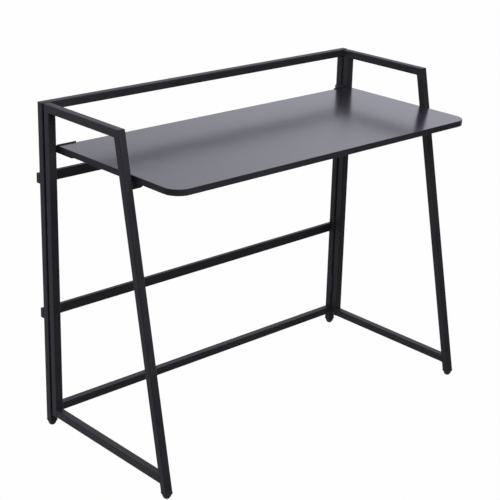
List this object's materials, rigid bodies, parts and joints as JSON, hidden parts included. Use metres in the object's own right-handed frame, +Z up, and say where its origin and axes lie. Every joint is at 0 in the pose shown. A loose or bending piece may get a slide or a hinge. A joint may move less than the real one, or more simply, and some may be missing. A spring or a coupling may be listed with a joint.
{
  "type": "folding desk",
  "caption": "Folding desk with a raised tube back frame, slanted front legs on hinged side frames and a pivoting laminate board with rounded front corners.",
  "frame": {"origin": "on the floor, in the middle of the desk's width and depth", "axes": "+Z up, +X along the width to the desk's right as its user sees it, -Y towards the user"},
  "size_m": [1.0214, 0.4936, 0.84],
  "materials": {
    "frame_paint": "satin black powder coat",
    "dark_steel": "black zinc plated steel",
    "black_plastic": "moulded black plastic, matt",
    "washer_nylon": "dark nylon",
    "pad_rubber": "black rubber, matt",
    "board_laminate": "dark grey satin laminate on particle board",
    "edge_band": "dark grey edge band, satin"
  },
  "bodies": {
    "back_frame": {"back_top_rail": "frame_paint", "back_bottom_rail": "frame_paint", "middle_cross_rail": "frame_paint", "upper_cross_rail": "frame_paint", "left_back_post": "frame_paint", "right_back_post": "frame_paint", "left_back_foot": "black_plastic", "right_back_foot": "black_plastic", "left_cross_rail_caps": "black_plastic", "right_cross_rail_caps": "black_plastic", "left_hinge_fixed_leaves": "frame_paint", "right_hinge_fixed_leaves": "frame_paint", "left_hinge_pins": "dark_steel", "right_hinge_pins": "dark_steel", "left_pivot_stud": "dark_steel", "right_pivot_stud": "dark_steel", "left_pivot_washer": "washer_nylon", "right_pivot_washer": "washer_nylon"},
    "left_side_frame": {"left_side_post": "frame_paint", "left_side_top_rail": "frame_paint", "left_front_leg": "frame_paint", "left_side_bottom_rail": "frame_paint", "left_front_foot": "black_plastic", "left_side_post_plug": "black_plastic", "left_hinge_moving_leaves": "frame_paint", "left_board_support": "frame_paint", "left_support_pad": "pad_rubber"},
    "right_side_frame": {"right_side_post": "frame_paint", "right_side_top_rail": "frame_paint", "right_front_leg": "frame_paint", "right_side_bottom_rail": "frame_paint", "right_front_foot": "black_plastic", "right_side_post_plug": "black_plastic", "right_hinge_moving_leaves": "frame_paint", "right_board_support": "frame_paint", "right_support_pad": "pad_rubber"},
    "board": {"board_core": "board_laminate", "board_edge_band": "edge_band", "left_hinge_bracket": "frame_paint", "right_hinge_bracket": "frame_paint", "left_bracket_screws": "dark_steel", "right_bracket_screws": "dark_steel"}
  },
  "joints": [
    {"name": "board_lift", "type": "hinge", "parent": "back_frame", "child": "board", "pos_m": [0, 0.22581, 0.731], "axis": [-1, 0, 0], "range_deg": [0, 75]},
    {"name": "left_frame_swing", "type": "hinge", "parent": "back_frame", "child": "left_side_frame", "pos_m": [-0.49, 0.2118, 0.4], "axis": [0, 0, -1], "range_deg": [0, 12]},
    {"name": "right_frame_swing", "type": "hinge", "parent": "back_frame", "child": "right_side_frame", "pos_m": [0.49, 0.2118, 0.4], "axis": [0, 0, 1], "range_deg": [0, 12]}
  ]
}
